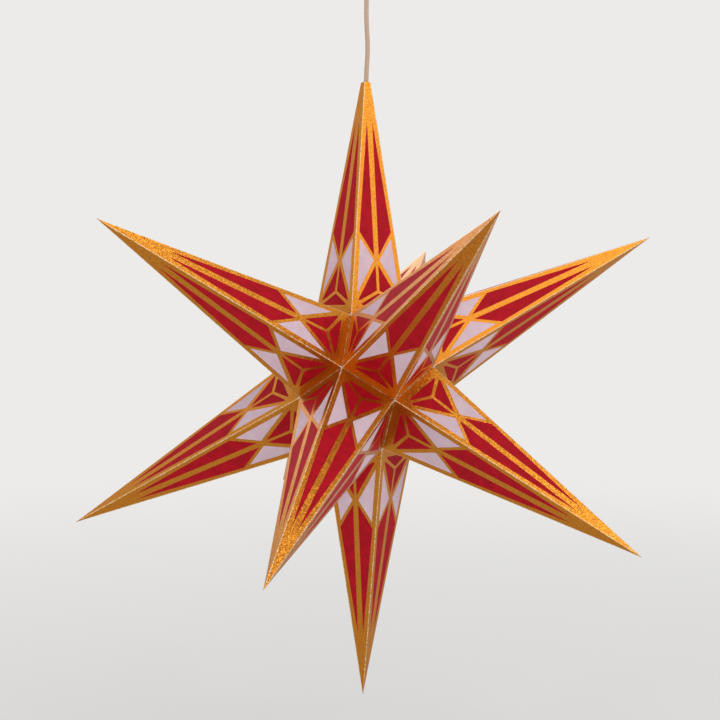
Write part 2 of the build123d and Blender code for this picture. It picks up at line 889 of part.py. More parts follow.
# ---------------------------------------------------------------- lampholder
shell_bore_radius = bulb_cap_radius + bulb_thread_crest + thread_fit
shell_radius = shell_bore_radius + shell_wall
holder_mouth_radius = shell_radius + holder_mouth_clearance
holder_seat_radius = holder_mouth_radius + holder_seat_step
holder_inner_radius = holder_radius - holder_wall
mouth_height = cap_bottom + holder_mouth_rise
ledge_height = contact_top + holder_leaf_space
contact_block_top = ledge_height + contact_block_height
split_height = ledge_height + holder_rim_height
cap_peak_height = split_height + holder_cap_height
holder_top_height = cap_peak_height + holder_neck_height
cable_end_height = cap_peak_height - holder_cable_grip
terminal_head_height = contact_block_top + core_diameter + 2 * grub_tip_gap


def lampholder_body():
    return in_star(
        turned(
            [
                (holder_mouth_radius, mouth_height),
                (holder_radius, mouth_height),
                (holder_radius, split_height - holder_fit),
                (holder_inner_radius, split_height - holder_fit),
                (holder_inner_radius, ledge_height),
                (holder_seat_radius, ledge_height),
                (holder_seat_radius, mouth_height + holder_lip),
                (holder_mouth_radius, mouth_height + holder_lip),
            ]
        )
    )


def lampholder_cap():
    """Screws into the body, where its spigot holds the contact block down, and grips the cable."""
    spigot = holder_inner_radius - holder_fit
    inner = spigot - holder_spigot_wall
    shoulder = cap_peak_height - holder_cap_shoulder
    made = turned(
        [
            (inner, contact_block_top + holder_fit),
            (spigot, contact_block_top + holder_fit),
            (spigot, split_height),
            (holder_radius, split_height),
            (holder_radius, shoulder),
            (holder_neck_radius, cap_peak_height),
            (holder_neck_radius, holder_top_height),
            (cord_hole_radius, holder_top_height),
            (cord_hole_radius, cable_end_height),
            (cord_hole_radius + 1, cable_end_height),
            (inner, shoulder - 1),
        ]
    )
    return in_star(made - grub_hole(holder_neck_radius, neck_screw_height()))


def neck_screw_height():
    return (cap_peak_height + holder_top_height) / 2


def lampholder_cord_screw():
    return in_star(grub_screw(holder_neck_radius, neck_screw_height()))


def contact_block():
    """The moulded insert that carries the contacts, seated on the body's ledge."""
    made = Pos(0, 0, ledge_height + contact_block_height / 2) * Cylinder(
        holder_inner_radius - holder_fit, contact_block_height
    )
    for x in either_side(holder_terminal_spacing):
        made -= rod(screw_hole, (x, 0, ledge_height - 1), (x, 0, contact_block_top + 1))
    return in_star(made)


def threaded_shell():
    """The lampholder's screw shell, flanged under the contact block."""
    top = ledge_height - leaf_press
    flange = holder_seat_radius - holder_fit
    return in_star(
        turned(
            [
                (shell_bore_radius, mouth_height + shell_mouth_inset),
                (shell_radius, mouth_height + shell_mouth_inset),
                (shell_radius, top - shell_wall),
                (flange, top - shell_wall),
                (flange, top),
                (shell_bore_radius, top),
            ]
        )
    )


def centre_contact():
    """A sprung leaf on the bulb's contact, its foot against the contact block."""
    low, high = contact_top + leaf_press, ledge_height - leaf_press
    tip, bend, foot = -bulb_contact_radius, bulb_contact_radius, shell_bore_radius - 1
    kink = (bend + foot) / 2
    t = leaf_thickness
    outline = [
        (tip, low),
        (bend, low),
        (kink, high - t),
        (foot, high - t),
        (foot, high),
        (kink, high),
        (bend, low + t),
        (tip, low + t),
    ]
    leaf = Plane.XZ * make_face(Polyline(*outline, close=True))
    return in_star(extrude(leaf, leaf_width / 2, both=True))


def contact_screws():
    """One terminal screw for each conductor, which lies under its head."""
    tip = ledge_height + leaf_press
    screw = slotted_screw(terminal_head_height - tip)
    return [
        in_star(placed(screw, (x, 0, tip), (0, 0, 1)))
        for x in either_side(holder_terminal_spacing)
    ]


def holder_core(side):
    """One conductor, from the lamp cable's end to the neck of its terminal screw."""
    start, level = cable_end_height, contact_block_top + core_radius + grub_tip_gap
    drop = start - level
    terminal = holder_terminal_spacing / 2
    beside = small_screw_radius + core_radius + grub_tip_gap
    points = [
        (core_spread, 0, start),
        (core_spread, 0, start - 0.24 * drop),
        (0.6, 1.1, start - 0.46 * drop),
        (0.3, 2.5, start - 0.67 * drop),
        (0.9, 3.6, start - 0.85 * drop),
        (3.0, 4.0, level + 0.4),
        (terminal - 0.5, beside + 0.8, level),
        (terminal + 2.8, beside, level),
    ]
    name = "lamp_live_core" if side > 0 else "lamp_neutral_core"
    return in_star(tube([(side * x, side * y, z) for x, y, z in points], core_diameter, name))


# ---------------------------------------------------------------- writing the parts
def parts():
    """Every node's solid, or its group of separate solids."""
    return {
        **spikes(),
        "seam_fasteners": seam_pins(),
        "cord_stop": cord_stop(),
        "cord_stop_screw": cord_stop_screw(),
        "pendant_cable": tube(cable_route(), cable_diameter, "pendant_cable"),
        "lamp_cable": lamp_cable(),
        "rose_base": rose_base(),
        "cord_clamp_bar": cord_clamp_bar(),
        "cord_clamp_screws": cord_clamp_screws(),
        "terminal_block": terminal_block(),
        "terminal_sleeves": terminal_sleeves(),
        "terminal_screws": terminal_screws(),
        "terminal_fixing_screw": terminal_fixing_screw(),
        "live_core": rose_core(1),
        "neutral_core": rose_core(-1),
        "rose_cup": rose_cup(),
        "cup_bush": cup_bush(),
        "cup_nut": cup_nut(),
        "cup_grub_screw": grub_screw(bush_barrel_radius, bush_screw_z),
        "lampholder_body": lampholder_body(),
        "lampholder_cap": lampholder_cap(),
        "lampholder_cord_screw": lampholder_cord_screw(),
        "contact_block": contact_block(),
        "threaded_shell": threaded_shell(),
        "centre_contact": centre_contact(),
        "contact_screws": contact_screws(),
        "lamp_live_core": holder_core(1),
        "lamp_neutral_core": holder_core(-1),
        "bulb_cap": bulb_cap(),
        "bulb_insulator": bulb_insulator(),
        "bulb_contact": bulb_contact(),
        "bulb_glass": bulb_glass(),
        "bulb_stem": bulb_stem(),
        "bulb_filaments": bulb_filaments(),
        "bulb_support_wires": bulb_support_wires(),
    }


def main():
    os.makedirs("parts", exist_ok=True)
    for name, made in parts().items():
        shape = Compound(children=made) if isinstance(made, list) else made
        export_step(shape, f"parts/{name}.step")
    r, z = crease()
    pivot = spike_plane(ACCESS).from_local_coords(Vector(r, 0, z))
    turns_out = (cap_top - bulb_cap_shoulder - mouth_height - shell_mouth_inset) / bulb_thread_pitch
    print(f"access crease at {pivot}, bulb leaves its thread after {turns_out:.2f} turns")


main()
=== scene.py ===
import json
import math
import random

import bmesh
import bpy
from mathutils import Matrix, Vector
from mathutils.geometry import delaunay_2d_cdt


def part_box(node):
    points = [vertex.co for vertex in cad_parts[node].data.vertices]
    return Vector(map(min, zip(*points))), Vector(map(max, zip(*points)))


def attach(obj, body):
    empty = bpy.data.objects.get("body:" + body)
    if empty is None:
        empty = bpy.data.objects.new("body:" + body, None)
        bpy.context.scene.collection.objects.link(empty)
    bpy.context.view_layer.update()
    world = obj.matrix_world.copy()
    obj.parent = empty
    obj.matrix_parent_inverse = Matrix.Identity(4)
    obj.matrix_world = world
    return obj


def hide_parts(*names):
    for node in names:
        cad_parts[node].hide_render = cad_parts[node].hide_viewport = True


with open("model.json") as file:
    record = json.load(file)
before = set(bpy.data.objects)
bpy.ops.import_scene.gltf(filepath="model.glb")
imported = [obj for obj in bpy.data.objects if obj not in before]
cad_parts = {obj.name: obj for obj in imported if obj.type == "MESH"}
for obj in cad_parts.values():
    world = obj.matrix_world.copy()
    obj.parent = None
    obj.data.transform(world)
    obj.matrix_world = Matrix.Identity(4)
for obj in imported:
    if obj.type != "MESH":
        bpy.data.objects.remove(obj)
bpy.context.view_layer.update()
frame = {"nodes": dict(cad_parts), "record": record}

nodes = frame["nodes"]
MM = 0.001

# ---------------------------------------------------------------- the star, read from the frame
SIDES = 5
TURN = 2 * math.pi / SIDES
HALF_TURN = TURN / 2
RING_LATITUDE = math.atan(0.5)  # of the ten side spikes, above or below level
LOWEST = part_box("bottom_spike")[0].z
RING_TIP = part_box("upper_left_spike")[1].z
TIP = (RING_TIP - LOWEST) / (1 + math.sin(RING_LATITUDE))  # the star's centre to a spike's tip
CENTRE = Vector((0, 0, LOWEST + TIP))
# The corner furthest back of the bottom spike's five-sided foot.
BACK_CORNER = max((v.co for v in nodes["bottom_spike"].data.vertices), key=lambda p: p.y)
CREASE_R = BACK_CORNER.y * math.cos(HALF_TURN)  # inradius of a spike's foot
CREASE_Z = CENTRE.z - BACK_CORNER.z  # and how far it is from the star's centre
PANEL_ANGLE = math.atan2(CREASE_R, TIP - CREASE_Z)  # between a panel and its spike's axis
PANEL_LENGTH = math.hypot(CREASE_R, TIP - CREASE_Z)  # up its middle, from crease to tip
SEAM_ANGLE = math.pi / 4 - RING_LATITUDE / 2  # a spike's axis to the plane between two
TOP_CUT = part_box("top_spike")[1].z - CENTRE.z  # where the top spike's tip is cut off


def ring_direction(azimuth, latitude):
    """Unit vector. azimuth is in degrees, from the front, -Y, towards +X. latitude is in radians."""
    a = math.radians(azimuth)
    flat = math.cos(latitude)
    return Vector((math.sin(a) * flat, -math.cos(a) * flat, math.sin(latitude)))


UP = Vector((0, 0, 1))
SPIKES = {
    "top_spike": UP,
    "upper_front_right_spike": ring_direction(36, RING_LATITUDE),
    "upper_right_spike": ring_direction(108, RING_LATITUDE),
    "upper_back_spike": ring_direction(180, RING_LATITUDE),
    "upper_left_spike": ring_direction(252, RING_LATITUDE),
    "upper_front_left_spike": ring_direction(324, RING_LATITUDE),
    "lower_front_spike": ring_direction(0, -RING_LATITUDE),
    "lower_right_spike": ring_direction(72, -RING_LATITUDE),
    "lower_back_right_spike": ring_direction(144, -RING_LATITUDE),
    "lower_back_left_spike": ring_direction(216, -RING_LATITUDE),
    "lower_left_spike": ring_direction(288, -RING_LATITUDE),
    "bottom_spike": -UP,
}
TOP = "top_spike"
ACCESS = "upper_back_spike"  # the one that opens, and leaves its flap 0 pinned to the star
NEIGHBOUR_COSINE = math.sin(RING_LATITUDE)  # of the angle between two spikes side by side
COSINE_SLACK = 0.01  # cosines this close count as the same

# ---------------------------------------------------------------- camera and cable
CAMERA_AT = (0.31271, -1.14548, -0.43473)
# The picture's right and up, as unit vectors.
CAMERA_RIGHT = (0.96351, 0.26762, 0.00501)
CAMERA_UP = (-0.01623, 0.03970, 0.99908)
CAMERA_LENS = 54.488  # in millimetres, as the sensor's width is
SENSOR_WIDTH = 36.0
CAMERA_REACH = 50  # past the floor's edge


def make_camera():
    data = bpy.data.cameras.new("camera")
    data.lens = CAMERA_LENS
    data.sensor_width = SENSOR_WIDTH
    data.clip_end = CAMERA_REACH
    camera = bpy.data.objects.new("camera", data)
    right, up = Vector(CAMERA_RIGHT), Vector(CAMERA_UP)
    camera.matrix_world = Matrix.Translation(CAMERA_AT) @ Matrix(
        (right, up, right.cross(up))
    ).transposed().to_4x4()
    bpy.context.scene.collection.objects.link(camera)
    bpy.context.scene.camera = camera


CABLE_DIAMETER = 0.005
CABLE_ROUTE = [
    (0, 0, -0.018),
    (0, 0, -0.095),
    (0, 0, -0.122),
    (0.0019, 0.0005, -0.149),
    (0.00025, 0.00005, -0.174),
    (0, 0, -0.1918),
]
CABLE_STEPS = 24  # of the curve, between two points of the route
CABLE_BEVEL = 8  # Blender's bevel resolution: it gives a section of 20 sides


def pendant_cable(material):
    """The cable from its clamp in the rose down to the cord stop in the star's top spike."""
    curve = bpy.data.curves.new("hanging_cable", "CURVE")
    curve.dimensions = "3D"
    curve.resolution_u = CABLE_STEPS
    curve.bevel_depth = CABLE_DIAMETER / 2
    curve.bevel_resolution = CABLE_BEVEL
    curve.use_fill_caps = True
    spline = curve.splines.new("NURBS")
    spline.points.add(len(CABLE_ROUTE) - 1)
    for point, at in zip(spline.points, CABLE_ROUTE):
        point.co = (*at, 1)
    spline.order_u = 3
    spline.use_endpoint_u = True
    curve.materials.append(material)
    cable = bpy.data.objects.new("hanging_cable", curve)
    bpy.context.scene.collection.objects.link(cable)
    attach(cable, "ceiling")
    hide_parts("pendant_cable")


# ---------------------------------------------------------------- materials
def srgb(red, green, blue):
    """A colour as it is seen, 0 to 255, as the linear colour that a shader takes."""
    linear = []
    for value in (red, green, blue):
        share = value / 255
        linear.append(share / 12.92 if share <= 0.04045 else ((share + 0.055) / 1.055) ** 2.4)
    return (*linear, 1.0)


def dimmed(colour, share):
    """The colour at a share of its own light."""
    return (*(share * c for c in colour[:3]), 1.0)


class Finish:
    """A procedural material, built round one Principled shader."""

    def __init__(self, name, **sockets):
        self.material = bpy.data.materials.new(name)
        self.material.use_nodes = True
        self.tree = self.material.node_tree
        self.shader = self.tree.nodes["Principled BSDF"]
        self.place = self.node("ShaderNodeTexCoord").outputs["Object"]
        for socket, value in sockets.items():
            self.shader.inputs[socket.replace("_", " ")].default_value = value

    def node(self, kind, **settings):
        made = self.tree.nodes.new(kind)
        for key, value in settings.items():
            setattr(made, key, value)
        return made

    def link(self, start, end):
        self.tree.links.new(start, end)

    def noise(self, size, detail, stretch=None):
        """Soft noise from 0 to 1, whose blotches are about size metres across."""
        texture = self.node("ShaderNodeTexNoise")
        texture.inputs["Scale"].default_value = 1 / size
        texture.inputs["Detail"].default_value = detail
        place = self.place
        if stretch:
            mapping = self.node("ShaderNodeMapping")
            mapping.inputs["Scale"].default_value = stretch
            self.link(place, mapping.inputs["Vector"])
            place = mapping.outputs["Vector"]
        self.link(place, texture.inputs["Vector"])
        return texture.outputs["Fac"]

    def grains(self, size):
        """A random colour for each grain of about size metres."""
        texture = self.node("ShaderNodeTexVoronoi")
        texture.inputs["Scale"].default_value = 1 / size
        self.link(self.place, texture.inputs["Vector"])
        return texture.outputs["Color"]

    def spread(self, value, low, high, start=0.0, end=1.0, ramp="LINEAR"):
        """Maps value's stretch from start to end onto low to high."""
        mapped = self.node("ShaderNodeMapRange", interpolation_type=ramp)
        for socket, number in (
            ("From Min", start), ("From Max", end), ("To Min", low), ("To Max", high)
        ):
            mapped.inputs[socket].default_value = number
        self.link(value, mapped.inputs["Value"])
        return mapped.outputs["Result"]

    def rise(self, value, start, end):
        """0 where value is below start, 1 where it is above end, and even in between."""
        return self.spread(value, 0.0, 1.0, start, end)

    def mix(self, share, first, second):
        """The colour first where share is 0, and second where it is 1."""
        mixed = self.node("ShaderNodeMix", data_type="RGBA")
        self.link(share, mixed.inputs["Factor"])
        for name, colour in (("A", first), ("B", second)):
            socket = next(s for s in mixed.inputs if s.name == name and s.type == "RGBA")
            if isinstance(colour, tuple):
                socket.default_value = colour
            else:
                self.link(colour, socket)
        return next(s for s in mixed.outputs if s.type == "RGBA")

    def colour(self, value):
        self.link(value, self.shader.inputs["Base Color"])

    def rough(self, value, low, high):
        """Roughness from low, where value is 0, to high, where it is 1."""
        self.link(self.spread(value, low, high), self.shader.inputs["Roughness"])

    def tilt(self, grain, amount):
        """Turns the surface of each grain its own way, by up to about amount radians."""
        centred = self.node("ShaderNodeVectorMath", operation="SUBTRACT")
        centred.inputs[1].default_value = (0.5, 0.5, 0.5)
        self.link(grain, centred.inputs[0])
        scaled = self.node("ShaderNodeVectorMath", operation="SCALE")
        scaled.inputs["Scale"].default_value = 2 * amount
        self.link(centred.outputs[0], scaled.inputs[0])
        moved = self.node("ShaderNodeVectorMath", operation="ADD")
        self.link(scaled.outputs[0], moved.inputs[0])
        self.link(self.node("ShaderNodeNewGeometry").outputs["Normal"], moved.inputs[1])
        level = self.node("ShaderNodeVectorMath", operation="NORMALIZE")
        self.link(moved.outputs[0], level.inputs[0])
        self.link(level.outputs[0], self.shader.inputs["Normal"])

    def bump(self, height, depth, strength):
        """Adds height from 0 to 1 as relief of depth metres, over what bump is there."""
        relief = self.node("ShaderNodeBump")
        relief.inputs["Strength"].default_value = strength
        relief.inputs["Distance"].default_value = depth
        self.link(height, relief.inputs["Height"])
        normal = self.shader.inputs["Normal"]
        if normal.is_linked:
            self.link(normal.links[0].from_socket, relief.inputs["Normal"])
        self.link(relief.outputs["Normal"], normal)


GOLD = srgb(200, 131, 47)
DEEP_GOLD = srgb(178, 108, 34)
# Lighter gold for the folds along the ridges: a painted highlight.
HIGHLIGHT_GOLD = srgb(231, 180, 100)
RED = srgb(186, 12, 32)
DEEP_RED = srgb(164, 8, 26)
PALE = srgb(226, 202, 214)
DEEP_PALE = srgb(218, 192, 206)
WHITE_CARD = srgb(238, 234, 228)
DEEP_WHITE_CARD = srgb(226, 221, 213)

GOLD_TILT = 0.12  # about the most that a grain of the gold leans, in radians
FOLD_WEAR_AND_HIGHLIGHT = 0.46  # bare card on the folds: partly wear, partly painted highlight
FLECK_EDGE = 0.04  # the stretch of the noise over which a fleck of bare card fades out
INK_SHINE = 0.12  # the printed card's specular level
# About how large the marks in each material are.
GOLD_GRAIN = 0.8 * MM
GOLD_HAZE = 6 * MM
# The flecks on the folds are partly wear, partly painted highlight.
FOLD_FLECK = 1.2 * MM
CARD_MOTTLE = 9 * MM
CARD_FIBRE = 0.35 * MM
CARD_WAVE = 22 * MM
PLASTIC_MOTTLE = 25 * MM
PLASTIC_HAZE = 3 * MM
PLASTIC_GRAIN = 0.3 * MM
JACKET_GRAIN = 0.15 * MM
METAL_MOTTLE = 5 * MM
METAL_LINE = 0.8 * MM
GLASS_TINT = 30 * MM
GLASS_WAVE = 14 * MM
CHIP_ROW = 0.9 * MM


def gold_print(name, colour, shade, wear_and_highlight=0.0):
    """Metallic gold with the sparkle of fine grains. The larger wear_and_highlight is, from 0 to 1,
    the more of it shows as flecks of bare card: partly wear, partly a painted highlight."""
    made = Finish(name, Metallic=1.0)
    grain = made.grains(GOLD_GRAIN)
    tone = made.mix(made.rise(grain, start=0.35, end=0.9), colour, shade)
    # Flecks of bare card without metal: partly wear, partly a painted highlight on the folds.
    if wear_and_highlight:
        flecks = made.noise(FOLD_FLECK, detail=3)
        bare_flecks = made.rise(flecks, start=1 - wear_and_highlight, end=1 - wear_and_highlight + FLECK_EDGE)
        made.colour(made.mix(bare_flecks, tone, WHITE_CARD))
        made.link(made.spread(bare_flecks, 1.0, 0.0), made.shader.inputs["Metallic"])
    else:
        made.colour(tone)
    made.rough(made.noise(GOLD_HAZE, detail=2), low=0.24, high=0.4)
    made.tilt(grain, GOLD_TILT)
    return made.material


def card_print(name, colour, shade, roughness):
    """Matt ink on smooth card, with the card's faint fibres and mottle."""
    made = Finish(name, Specular_IOR_Level=INK_SHINE)
    mottle = made.noise(CARD_MOTTLE, detail=5)
    fibres = made.noise(CARD_FIBRE, detail=3)
    made.colour(made.mix(made.rise(mottle, start=0.35, end=0.7), colour, shade))
    made.rough(fibres, low=roughness - 0.07, high=roughness + 0.1)
    made.bump(fibres, depth=0.02 * MM, strength=0.4)
    made.bump(made.noise(CARD_WAVE, detail=1), depth=0.15 * MM, strength=0.5)
    return made.material


def moulded(name, colour, roughness, grain=PLASTIC_GRAIN):
    """Plastic with a fine moulded surface and slight unevenness of tone."""
    made = Finish(name)
    mottle = made.rise(made.noise(PLASTIC_MOTTLE, detail=2), start=0.3, end=0.8)
    made.colour(made.mix(mottle, colour, dimmed(colour, 0.95)))
    made.rough(made.noise(PLASTIC_HAZE, detail=3), low=roughness - 0.03, high=roughness + 0.03)
    made.bump(made.noise(grain, detail=2), depth=0.004 * MM, strength=0.2)
    return made.material


def metal(name, colour, roughness, lines=(1, 1, 14)):
    """Metal with fine lines, closer together along an axis where lines is larger."""
    made = Finish(name, Metallic=1.0)
    streaks = made.noise(METAL_LINE, detail=3, stretch=lines)
    tarnish = made.rise(made.noise(METAL_MOTTLE, detail=3), start=0.3, end=0.8)
    made.colour(made.mix(tarnish, colour, dimmed(colour, 0.78)))
    made.rough(streaks, low=roughness - 0.08, high=roughness + 0.12)
    made.bump(streaks, depth=0.01 * MM, strength=0.5)
    return made.material


def clear_glass():
    made = Finish("clear_glass", Transmission_Weight=1.0, IOR=1.46, Roughness=0.0)
    tint = made.noise(GLASS_TINT, detail=2)
    made.colour(made.mix(tint, srgb(250, 252, 252), srgb(244, 248, 247)))
    made.bump(made.noise(GLASS_WAVE, detail=1), depth=0.05 * MM, strength=0.3)
    return made.material


def coating():
    """Yellow silicone over the filaments, with the chips' rows just showing."""
    made = Finish("filament_coating", Roughness=0.55)
    rows = made.noise(CHIP_ROW, detail=1, stretch=(0.2, 0.2, 1))
    shown = made.rise(rows, start=0.4, end=0.6)
    made.colour(made.mix(shown, srgb(240, 196, 62), srgb(222, 160, 34)))
    made.bump(rows, depth=0.05 * MM, strength=0.4)
    return made.material


# By material slot: the material's name, its colour, its roughness, and its grain or its lines.
FINISHES = {
    "fastener_brass": lambda: metal("pin_brass", srgb(214, 178, 96), 0.28, (6, 6, 6)),
    "cord_stop_plastic": lambda: moulded("cord_stop_plastic", srgb(232, 230, 222), 0.42),
    "screw_steel": lambda: metal("screw_steel", srgb(196, 198, 202), 0.32, (9, 9, 1)),
    "cable_jacket": lambda: moulded("cable_jacket", srgb(196, 166, 142), 0.48, JACKET_GRAIN),
    "core_brown": lambda: moulded("core_brown", srgb(112, 66, 38), 0.4, JACKET_GRAIN),
    "core_blue": lambda: moulded("core_blue", srgb(50, 96, 172), 0.4, JACKET_GRAIN),
    "rose_plastic": lambda: moulded("rose_plastic", srgb(230, 228, 222), 0.28, 2.0 * MM),
    "turned_brass": lambda: metal("turned_brass", srgb(216, 182, 104), 0.22),
    "terminal_plastic": lambda: moulded("terminal_plastic", srgb(226, 222, 204), 0.45),
    "holder_plastic": lambda: moulded("holder_plastic", srgb(234, 232, 226), 0.36),
    "contact_ceramic": lambda: moulded("contact_ceramic", srgb(232, 227, 216), 0.7, 0.5 * MM),
    "plated_metal": lambda: metal("plated_metal", srgb(206, 206, 208), 0.25, (1, 1, 10)),
    "insulator_glass": lambda: moulded("black_glass", srgb(22, 22, 26), 0.12, 0.8 * MM),
    "lamp_glass": clear_glass,
    "filament_coating": coating,
    "star_card": lambda: card_print("white_card", WHITE_CARD, DEEP_WHITE_CARD, 0.7),
}


def dress_nodes():
    """Gives every CAD node the finish of its slot, and returns the finishes by slot."""
    slots = {part["node"]: part["material_slot"] for part in frame["record"]["subparts"]}
    finishes = {slot: build() for slot, build in FINISHES.items()}
    for name, node in nodes.items():
        node.data.materials.clear()
        node.data.materials.append(finishes[slots[name]])
    return finishes


# ---------------------------------------------------------------- the printed pattern
# Outlines on a panel are in millimetres: x across from its middle, v up from its foot.
# The apron's is whole. The others lie in the right half and are mirrored for the left.
BAND_TOP = 210 * MM  # above it the tip is all gold
SLIVER = [(3.0, 210.0), (17.85, 88.7), (2.6, 63.0)]  # long red field beside the band
PALE_FIELD = [(17.3, 81.3), (3.3, 58.1), (23.6, 23.0)]
SIDE_FIELD = [(1.5, 52.8), (22.6, 16.3), (21.9, 14.9), (11.2, 20.2), (1.5, 25.6)]
APRON = [
    (0.0, 22.6),
    (10.4, 16.9),
    (19.8, 11.4),
    (18.6, 10.1),
    (-18.6, 10.1),
    (-19.8, 11.4),
    (-10.4, 16.9),
]
GOLD_SLOT, FOLD_SLOT, RED_SLOT, PALE_SLOT, CARD_SLOT = range(5)


def in_metres(points, mirror=1):
    return [Vector((mirror * x * MM, v * MM)) for x, v in points]


def fields():
    """(material slot, outline) of every printed field of a panel."""
    made = [(RED_SLOT, in_metres(APRON))]
    for mirror in (1, -1):
        made.append((RED_SLOT, in_metres(SLIVER, mirror)))
        made.append((PALE_SLOT, in_metres(PALE_FIELD, mirror)))
        made.append((RED_SLOT, in_metres(SIDE_FIELD, mirror)))
    return made


# ---------------------------------------------------------------- spikes of folded card
CARD = 0.5 * MM
RIDGE_RADIUS = 0.9 * MM  # outside of the fold along a ridge
CREASE_RADIUS = 2.0 * MM  # and of the fold round a spike's foot
FOLD_STEPS = 4  # faces round a fold
FLAP_DEPTH = 12 * MM
FLAP_CORNER = 1 * MM  # below the crease, where the notch between two flaps starts
NOTCH_ANGLE = 50.0  # of that notch, in degrees
PIN_SPACING = 28 * MM  # between the two split pins of a seam
PIN_DEPTH = 6.5 * MM  # below the crease
SLIT_WIDTH = 3.9 * MM  # of the slit for a pin
SLIT_HEIGHT = 1.4 * MM
GLUE_FLAP_WIDTH = 9 * MM
GLUE_FLAP_START = 61 * MM  # from the tip, below the cord stop
GLUE_FLAP_END = 2 * MM  # above the crease, at its foot
GLUE_FLAP_HEAD = 0.6  # its head's width, as a share of its foot's
GLUE_LAYER = 0.03 * MM  # between the flap and the panel it lies on
TIP_TAPER = 8 * MM  # the card thins to nothing over this, at a closed tip
TIP_ROWS = (6 * MM, 3 * MM)  # rows of points this far from the tip
BARE_CORNER = 2.2 * MM  # bare card at the ridge's foot, where three spikes meet
ROW_HEIGHT = 12 * MM  # about how far apart the other rows are
BOW = 0.5 * MM  # how far a panel's middle stands out of or behind its flat
BOW_FADE = 40 * MM  # up from the crease, the height over which the bow grows
BOW_SHARES = (-0.8, 1.0)  # between which each panel's share of the bow is drawn
TOP_BOW_SHARES = (0.1, 0.5)  # and for the top spike's panels
BOW_SEED = 12
MERGE_DISTANCE = 0.002 * MM
SHORTEST_EDGE = 0.001 * MM
CUT_TOLERANCE = 1e-7
SMALLEST_HALF = 1e-9  # stands for half a panel's width at the tip, to divide by
WITHIN_OUTLINES = 1  # tells delaunay_2d_cdt to leave out triangles outside the outlines
SHARP_FOLD = math.radians(35)  # edges that turn by more look sharp


def ridge_radius(r):
    """The ridge's fold at a cross-section of inradius r: it closes to nothing at the tip."""
    return min(RIDGE_RADIUS, r / 3)


def corner_arc(side, r, z):
    """The rounded corner from a side to the next, at inradius r and height z."""
    radius = ridge_radius(r)
    out = (r - radius) / math.cos(HALF_TURN)
    middle = (side + 0.5) * TURN
    centre = Vector((out * math.cos(middle), out * math.sin(middle), z))
    turns = [side * TURN + TURN * k / FOLD_STEPS for k in range(FOLD_STEPS + 1)]
    return [centre + radius * Vector((math.cos(a), math.sin(a), 0)) for a in turns]


def flat_half(r):
    """Half the flat width of a side at inradius r, between its rounded corners."""
    return (r - ridge_radius(r)) * math.tan(HALF_TURN)


def on_side(side, x, r, z):
    """A point of a side: x across its middle, at inradius r and height z."""
    a = side * TURN
    outward = Vector((math.cos(a), math.sin(a), 0))
    across = Vector((-math.sin(a), math.cos(a), 0))
    return outward * r + across * x + Vector((0, 0, z))


FOLD_TURN = PANEL_ANGLE + SEAM_ANGLE
FOLD_REACH = CREASE_RADIUS * math.tan(FOLD_TURN / 2)  # the crease's fold, up the panel and down the flap


def panel_level(v):
    """(inradius, z) of a panel, v up from its foot."""
    return CREASE_R - v * math.sin(PANEL_ANGLE), CREASE_Z + v * math.cos(PANEL_ANGLE)


def flap_level(depth):
    """(inradius, z) of a flap, depth down from the crease."""
    return CREASE_R - depth * math.sin(SEAM_ANGLE), CREASE_Z - depth * math.cos(SEAM_ANGLE)


def crease_levels():
    """(inradius, z) round the crease's fold, from the panel down to the flap."""
    r, z = panel_level(FOLD_REACH)
    centre_r = r - CREASE_RADIUS * math.cos(PANEL_ANGLE)
    centre_z = z - CREASE_RADIUS * math.sin(PANEL_ANGLE)
    turns = [PANEL_ANGLE - FOLD_TURN * k / FOLD_STEPS for k in range(FOLD_STEPS + 1)]
    return [
        (centre_r + CREASE_RADIUS * math.cos(a), centre_z + CREASE_RADIUS * math.sin(a)) for a in turns
    ]


def panel_rows():
    """Heights up a panel at which its edges have points."""
    rows = [FOLD_REACH, BARE_CORNER]
    count = round(PANEL_LENGTH / ROW_HEIGHT)
    rows += [PANEL_LENGTH * k / count for k in range(1, count)]
    rows += [PANEL_LENGTH - gap for gap in TIP_ROWS]
    return rows


def normal(points):
    """The area vector of a face, by its corners."""
    total = Vector((0, 0, 0))
    for k, point in enumerate(points):
        total += points[k - 1].cross(point)
    return total


def signed_area(outline):
    """Above 0 where the outline runs anticlockwise."""
    return sum(outline[k - 1].cross(point) for k, point in enumerate(outline)) / 2


class Sheet:
    """Card of no thickness yet, gathered face by face."""

    def __init__(self):
        self.mesh = bmesh.new()

    def face(self, points, out, slot):
        """One flat face that looks towards out."""
        if normal(points).dot(out) < 0:
            points = points[::-1]
        made = self.mesh.faces.new([self.mesh.verts.new(p) for p in points])
        made.material_index = slot

    def cut(self, outline, shapes, rules, place, out, slot):
        """Fills a flat outline, cut along shapes. shapes are (slot or None for a hole, points),
        and rules are extra cut lines. place turns (x, v) into a point in space."""
        points = []
        faces = []
        edges = []
        for shape in [outline, *(shape for _, shape in shapes)]:
            faces.append([len(points) + k for k in range(len(shape))])
            points += shape if signed_area(shape) > 0 else shape[::-1]
        for start, end in rules:
            edges.append((len(points), len(points) + 1))
            points += [start, end]
        made, _, triangles, _, _, owners = delaunay_2d_cdt(
            points, edges, faces, WITHIN_OUTLINES, CUT_TOLERANCE, True
        )
        for triangle, owned in zip(triangles, owners):
            if 0 not in owned:
                continue
            slots = [shapes[k - 1][0] for k in owned if 0 < k <= len(shapes)]
            if None in slots:
                continue
            self.face([place(*made[k]) for k in triangle], out, slots[0] if slots else slot)


